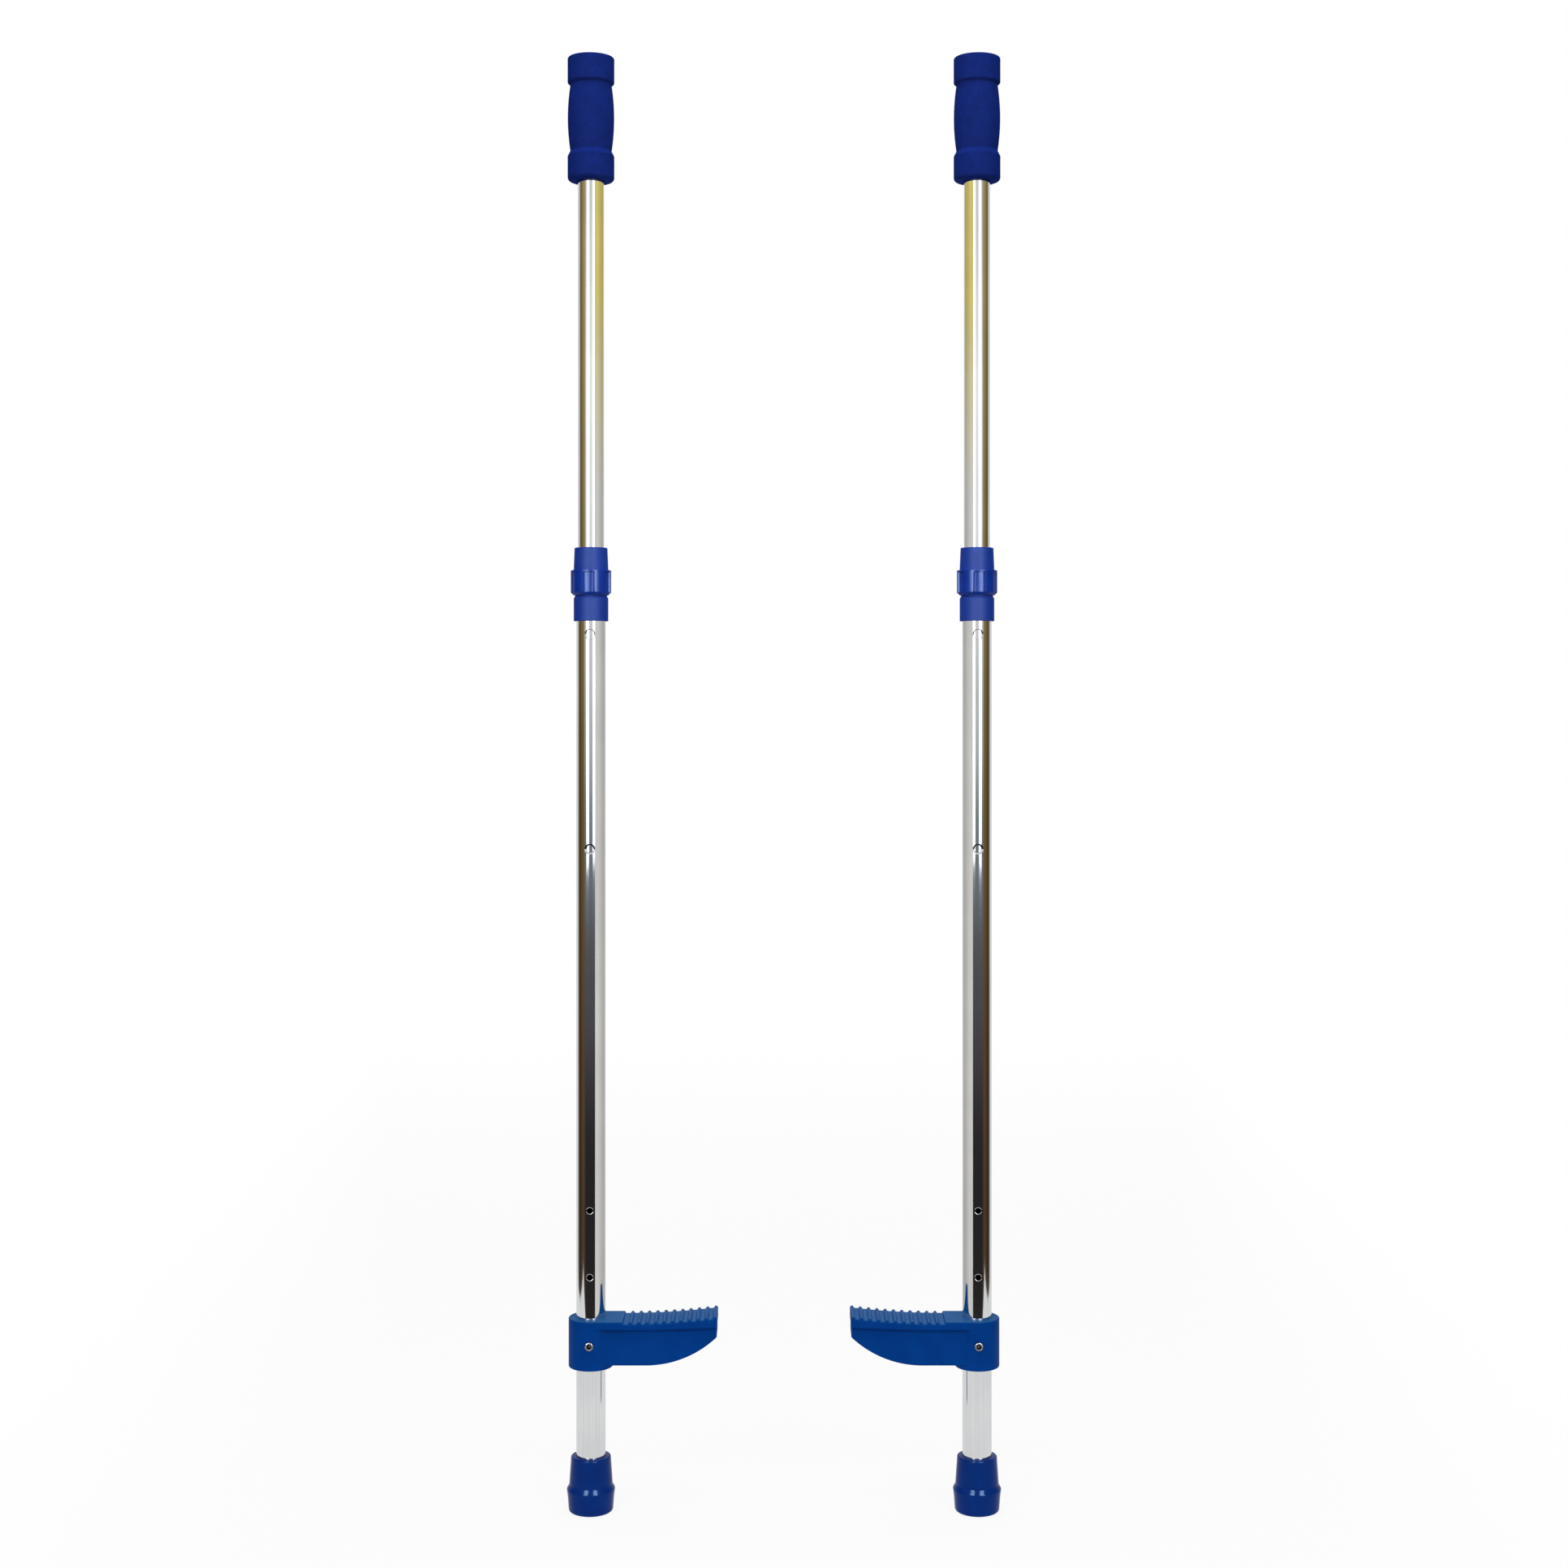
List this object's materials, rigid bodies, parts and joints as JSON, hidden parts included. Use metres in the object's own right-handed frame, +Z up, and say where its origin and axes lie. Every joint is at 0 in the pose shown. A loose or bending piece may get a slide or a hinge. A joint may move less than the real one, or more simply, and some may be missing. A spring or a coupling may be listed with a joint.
{
  "type": "telescopic stilts",
  "caption": "Pair of telescopic walking stilts: sliding aluminium tubes with twist locks, bolted ribbed footrests pointing inwards, foam hand grips and rubber feet.",
  "frame": {"origin": "on the floor, midway between the two stilts", "axes": "+Z up along the tubes, X from the left stilt to the right one, the footrests point inwards along X, -Y is the front with the bolt heads and sight holes"},
  "size_m": [0.4148, 0.0468, 1.3893],
  "materials": {
    "tube": "polished",
    "steel": "zinc plated",
    "grip": "closed-cell foam, matt",
    "lock": "moulded, satin gloss",
    "footrest": "moulded, semi-matt",
    "rubber": "moulded rubber, satin",
    "bush": "moulded, matt"
  },
  "bodies": {
    "left_stilt": {"left_rubber_foot": "rubber", "left_foot_disc": "steel", "left_lower_tube": "tube", "left_footrest": "footrest", "left_footrest_bolt": "steel", "left_footrest_nut": "steel", "left_lock_body": "lock"},
    "left_collet": {"left_lock_collet": "bush"},
    "left_nut": {"left_lock_nut": "lock"},
    "left_slider": {"left_upper_tube": "tube", "left_guide_bush": "bush", "left_tube_cap": "bush", "left_hand_grip": "grip"},
    "right_stilt": {"right_rubber_foot": "rubber", "right_foot_disc": "steel", "right_lower_tube": "tube", "right_footrest": "footrest", "right_footrest_bolt": "steel", "right_footrest_nut": "steel", "right_lock_body": "lock"},
    "right_collet": {"right_lock_collet": "bush"},
    "right_nut": {"right_lock_nut": "lock"},
    "right_slider": {"right_upper_tube": "tube", "right_guide_bush": "bush", "right_tube_cap": "bush", "right_hand_grip": "grip"}
  },
  "joints": [
    {"name": "stance", "type": "slide", "parent": "left_stilt", "child": "right_stilt", "axis": [1, 0, 0], "range_m": [-0.1, 0.25]},
    {"name": "left_telescope", "type": "slide", "parent": "left_stilt", "child": "left_slider", "axis": [0, 0, 1], "range_m": [-0.34, 0.03]},
    {"name": "left_collet_lift", "type": "slide", "parent": "left_stilt", "child": "left_collet", "axis": [0, 0, 1], "range_m": [0, 0.0023]},
    {"name": "left_lock_turn", "type": "hinge", "parent": "left_collet", "child": "left_nut", "pos_m": [-0.1845, 0, 0.8741], "axis": [0, 0, 1], "range_deg": [0, 270]},
    {"name": "right_telescope", "type": "slide", "parent": "right_stilt", "child": "right_slider", "axis": [0, 0, 1], "range_m": [-0.34, 0.03]},
    {"name": "right_collet_lift", "type": "slide", "parent": "right_stilt", "child": "right_collet", "axis": [0, 0, 1], "range_m": [0, 0.0023]},
    {"name": "right_lock_turn", "type": "hinge", "parent": "right_collet", "child": "right_nut", "pos_m": [0.1845, 0, 0.8741], "axis": [0, 0, 1], "range_deg": [0, 270]}
  ],
  "couplings": [
    {"joint": "left_collet_lift", "follows": "left_lock_turn", "m_per_rad": 0.00047746},
    {"joint": "right_collet_lift", "follows": "right_lock_turn", "m_per_rad": 0.00047746}
  ]
}
